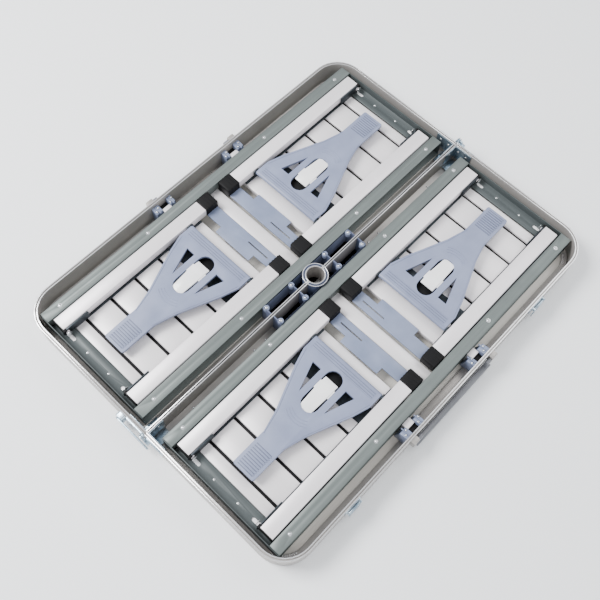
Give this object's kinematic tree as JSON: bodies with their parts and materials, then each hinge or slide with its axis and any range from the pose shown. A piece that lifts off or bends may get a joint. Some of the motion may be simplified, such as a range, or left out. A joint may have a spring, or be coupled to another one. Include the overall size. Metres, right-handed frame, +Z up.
{
  "type": "folding picnic table",
  "caption": "Suitcase-style folding aluminium picnic table, laid open flat with its slatted seats and tubular legs stowed inside two hinged trays.",
  "frame": {"origin": "middle of the seam on the tabletop's outer face, at the bottom of the open case", "axes": "+X along the seam towards the right-hand seats, +Y towards the rear tray, +Z up from the tabletop's outer face into the trays"},
  "size_m": [0.8794, 0.696, 0.0575],
  "materials": {
    "painted_aluminium_rim": "satin anodised extrusion",
    "frame_aluminium": "mill-finish folded section",
    "slat_aluminium": "brushed and clear anodised",
    "dark_steel": "dark zinc-plated and painted steel",
    "zinc_steel": "bright zinc-plated steel",
    "brace_plastic": "moulded pale grey plastic, fine grain",
    "blue_grey_plastic": "moulded blue-grey plastic",
    "black_plastic": "moulded black plastic",
    "white_plastic": "moulded white plastic",
    "tabletop_board": "laminated board, pale grey"
  },
  "bodies": {
    "rear_tray": {"rear_tabletop_panel": "tabletop_board", "rear_rim": "painted_aluminium_rim", "rear_seam_wall": "painted_aluminium_rim", "rear_outer_rail": "frame_aluminium", "rear_inner_rail": "frame_aluminium", "rear_right_end_plate": "dark_steel", "rear_left_end_plate": "dark_steel", "rear_centre_tube": "slat_aluminium", "rear_seam_housing": "blue_grey_plastic", "rear_handle_bracket": "blue_grey_plastic", "right_hinge_pin": "dark_steel", "left_hinge_pin": "dark_steel"},
    "front_tray": {"front_tabletop_panel": "tabletop_board", "front_rim": "painted_aluminium_rim", "front_seam_wall": "painted_aluminium_rim", "front_outer_rail": "frame_aluminium", "front_inner_rail": "frame_aluminium", "front_right_end_plate": "dark_steel", "front_left_end_plate": "dark_steel", "front_centre_tube": "slat_aluminium", "front_seam_housing": "blue_grey_plastic", "front_handle_bracket": "blue_grey_plastic"},
    "rear_handle": {"rear_handle": "blue_grey_plastic"},
    "front_handle": {"front_handle": "blue_grey_plastic"},
    "lock_bar": {"lock_bar": "zinc_steel"},
    "left_latch_lever": {"left_latch_lever": "zinc_steel"},
    "right_latch_lever": {"right_latch_lever": "zinc_steel"},
    "rear_right_link": {"rear_right_link_frame": "dark_steel"},
    "rear_right_seat": {"rear_right_seat_slats": "slat_aluminium", "rear_right_seat_frame": "dark_steel"},
    "rear_right_legs": {"rear_right_outer_leg_tube": "slat_aluminium", "rear_right_inner_leg_tube": "slat_aluminium", "rear_right_foot_moulding": "black_plastic"},
    "rear_right_brace": {"rear_right_brace": "brace_plastic"},
    "rear_right_brace_latch": {"rear_right_brace_latch": "white_plastic"},
    "rear_left_link": {"rear_left_link_frame": "dark_steel"},
    "rear_left_seat": {"rear_left_seat_slats": "slat_aluminium", "rear_left_seat_frame": "dark_steel"},
    "rear_left_legs": {"rear_left_outer_leg_tube": "slat_aluminium", "rear_left_inner_leg_tube": "slat_aluminium", "rear_left_foot_moulding": "black_plastic"},
    "rear_left_brace": {"rear_left_brace": "brace_plastic"},
    "rear_left_brace_latch": {"rear_left_brace_latch": "white_plastic"},
    "front_right_link": {"front_right_link_frame": "dark_steel"},
    "front_right_seat": {"front_right_seat_slats": "slat_aluminium", "front_right_seat_frame": "dark_steel"},
    "front_right_legs": {"front_right_outer_leg_tube": "slat_aluminium", "front_right_inner_leg_tube": "slat_aluminium", "front_right_foot_moulding": "black_plastic"},
    "front_right_brace": {"front_right_brace": "brace_plastic"},
    "front_right_brace_latch": {"front_right_brace_latch": "white_plastic"},
    "front_left_link": {"front_left_link_frame": "dark_steel"},
    "front_left_seat": {"front_left_seat_slats": "slat_aluminium", "front_left_seat_frame": "dark_steel"},
    "front_left_legs": {"front_left_outer_leg_tube": "slat_aluminium", "front_left_inner_leg_tube": "slat_aluminium", "front_left_foot_moulding": "black_plastic"},
    "front_left_brace": {"front_left_brace": "brace_plastic"},
    "front_left_brace_latch": {"front_left_brace_latch": "white_plastic"}
  },
  "joints": [
    {"name": "case_fold", "type": "hinge", "parent": "rear_tray", "child": "front_tray", "pos_m": [0, 0, 0.053], "axis": [1, 0, 0], "range_deg": [-180, 0]},
    {"name": "rear_handle_swing", "type": "hinge", "parent": "rear_tray", "child": "rear_handle", "pos_m": [0, 0.341, 0.04], "axis": [1, 0, 0], "range_deg": [0, 90]},
    {"name": "front_handle_swing", "type": "hinge", "parent": "front_tray", "child": "front_handle", "pos_m": [0, -0.341, 0.04], "axis": [-1, 0, 0], "range_deg": [0, 90]},
    {"name": "lock_bar_swing", "type": "hinge", "parent": "rear_tray", "child": "lock_bar", "pos_m": [-0.437, 0.061, 0.0225], "axis": [-1, 0, 0], "range_deg": [0, 90]},
    {"name": "left_latch_swing", "type": "hinge", "parent": "front_tray", "child": "left_latch_lever", "pos_m": [-0.267, -0.34, 0.044], "axis": [-1, 0, 0], "range_deg": [0, 45]},
    {"name": "right_latch_swing", "type": "hinge", "parent": "front_tray", "child": "right_latch_lever", "pos_m": [0.253, -0.34, 0.044], "axis": [-1, 0, 0], "range_deg": [0, 45]},
    {"name": "rear_right_unfold", "type": "hinge", "parent": "rear_tray", "child": "rear_right_link", "pos_m": [0.3955, 0.1644, 0.019], "axis": [0, 1, 0], "range_deg": [0, 90]},
    {"name": "rear_right_seat_level", "type": "hinge", "parent": "rear_right_link", "child": "rear_right_seat", "pos_m": [0.12, 0.1644, 0.019], "axis": [0, 1, 0], "range_deg": [-90, 0]},
    {"name": "rear_right_legs_out", "type": "hinge", "parent": "rear_right_seat", "child": "rear_right_legs", "pos_m": [0.3955, 0.1644, 0.0385], "axis": [0, 1, 0], "range_deg": [0, 90]},
    {"name": "rear_right_brace_swing", "type": "hinge", "parent": "rear_right_seat", "child": "rear_right_brace", "pos_m": [0.0905, 0.1644, 0.0425], "axis": [0, -1, 0], "range_deg": [0, 75]},
    {"name": "rear_right_latch_press", "type": "hinge", "parent": "rear_right_brace", "child": "rear_right_brace_latch", "pos_m": [0.153, 0.1644, 0.045], "axis": [0, 1, 0], "range_deg": [0, 6]},
    {"name": "rear_left_unfold", "type": "hinge", "parent": "rear_tray", "child": "rear_left_link", "pos_m": [-0.3955, 0.1644, 0.019], "axis": [0, -1, 0], "range_deg": [0, 90]},
    {"name": "rear_left_seat_level", "type": "hinge", "parent": "rear_left_link", "child": "rear_left_seat", "pos_m": [-0.12, 0.1644, 0.019], "axis": [0, -1, 0], "range_deg": [-90, 0]},
    {"name": "rear_left_legs_out", "type": "hinge", "parent": "rear_left_seat", "child": "rear_left_legs", "pos_m": [-0.3955, 0.1644, 0.0385], "axis": [0, -1, 0], "range_deg": [0, 90]},
    {"name": "rear_left_brace_swing", "type": "hinge", "parent": "rear_left_seat", "child": "rear_left_brace", "pos_m": [-0.0905, 0.1644, 0.0425], "axis": [0, 1, 0], "range_deg": [0, 75]},
    {"name": "rear_left_latch_press", "type": "hinge", "parent": "rear_left_brace", "child": "rear_left_brace_latch", "pos_m": [-0.153, 0.1644, 0.045], "axis": [0, -1, 0], "range_deg": [0, 6]},
    {"name": "front_right_unfold", "type": "hinge", "parent": "front_tray", "child": "front_right_link", "pos_m": [0.3955, -0.1644, 0.019], "axis": [0, 1, 0], "range_deg": [0, 90]},
    {"name": "front_right_seat_level", "type": "hinge", "parent": "front_right_link", "child": "front_right_seat", "pos_m": [0.12, -0.1644, 0.019], "axis": [0, 1, 0], "range_deg": [-90, 0]},
    {"name": "front_right_legs_out", "type": "hinge", "parent": "front_right_seat", "child": "front_right_legs", "pos_m": [0.3955, -0.1644, 0.0385], "axis": [0, 1, 0], "range_deg": [0, 90]},
    {"name": "front_right_brace_swing", "type": "hinge", "parent": "front_right_seat", "child": "front_right_brace", "pos_m": [0.0905, -0.1644, 0.0425], "axis": [0, -1, 0], "range_deg": [0, 75]},
    {"name": "front_right_latch_press", "type": "hinge", "parent": "front_right_brace", "child": "front_right_brace_latch", "pos_m": [0.153, -0.1644, 0.045], "axis": [0, 1, 0], "range_deg": [0, 6]},
    {"name": "front_left_unfold", "type": "hinge", "parent": "front_tray", "child": "front_left_link", "pos_m": [-0.3955, -0.1644, 0.019], "axis": [0, -1, 0], "range_deg": [0, 90]},
    {"name": "front_left_seat_level", "type": "hinge", "parent": "front_left_link", "child": "front_left_seat", "pos_m": [-0.12, -0.1644, 0.019], "axis": [0, -1, 0], "range_deg": [-90, 0]},
    {"name": "front_left_legs_out", "type": "hinge", "parent": "front_left_seat", "child": "front_left_legs", "pos_m": [-0.3955, -0.1644, 0.0385], "axis": [0, -1, 0], "range_deg": [0, 90]},
    {"name": "front_left_brace_swing", "type": "hinge", "parent": "front_left_seat", "child": "front_left_brace", "pos_m": [-0.0905, -0.1644, 0.0425], "axis": [0, 1, 0], "range_deg": [0, 75]},
    {"name": "front_left_latch_press", "type": "hinge", "parent": "front_left_brace", "child": "front_left_brace_latch", "pos_m": [-0.153, -0.1644, 0.045], "axis": [0, -1, 0], "range_deg": [0, 6]}
  ],
  "couplings": [
    {"joint": "rear_right_seat_level", "follows": "rear_right_unfold", "ratio": -1},
    {"joint": "rear_right_legs_out", "follows": "rear_right_unfold", "ratio": 1},
    {"joint": "rear_left_seat_level", "follows": "rear_left_unfold", "ratio": -1},
    {"joint": "rear_left_legs_out", "follows": "rear_left_unfold", "ratio": 1},
    {"joint": "front_right_seat_level", "follows": "front_right_unfold", "ratio": -1},
    {"joint": "front_right_legs_out", "follows": "front_right_unfold", "ratio": 1},
    {"joint": "front_left_seat_level", "follows": "front_left_unfold", "ratio": -1},
    {"joint": "front_left_legs_out", "follows": "front_left_unfold", "ratio": 1}
  ]
}
